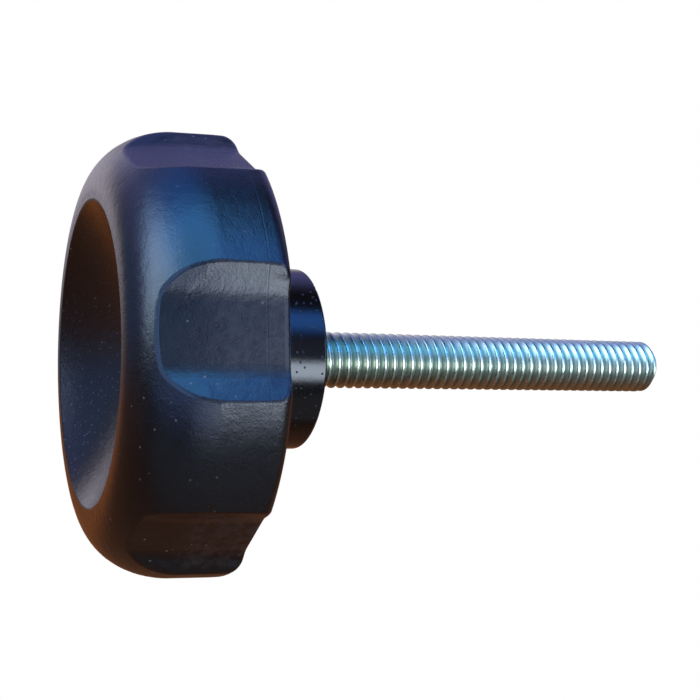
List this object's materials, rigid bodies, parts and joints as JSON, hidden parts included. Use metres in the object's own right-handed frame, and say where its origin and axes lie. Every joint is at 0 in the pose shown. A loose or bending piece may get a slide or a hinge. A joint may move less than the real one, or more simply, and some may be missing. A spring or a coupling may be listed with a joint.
{
  "type": "fluted clamping knob",
  "caption": "Round black plastic clamping knob with finger flutes round a dished head and a long plated threaded stud out of its hub.",
  "frame": {"origin": "centre of the ring round the dished head, on the surface that the knob stands on", "axes": "+Z along the stud's axis, from the head towards the stud's tip; +X through the middle of one lobe, with the middle of a flute 30 degrees from it and another on -Y"},
  "size_m": [0.059, 0.0568, 0.0888],
  "materials": {
    "black_plastic": "fine moulded texture, slightly glossy hub, light dust and scuffs",
    "zinc_plated_steel": "bright zinc plate with a faint blue and yellow tint"
  },
  "bodies": {
    "root": {"knob_body": "black_plastic", "threaded_stud": "zinc_plated_steel"}
  },
  "joints": []
}
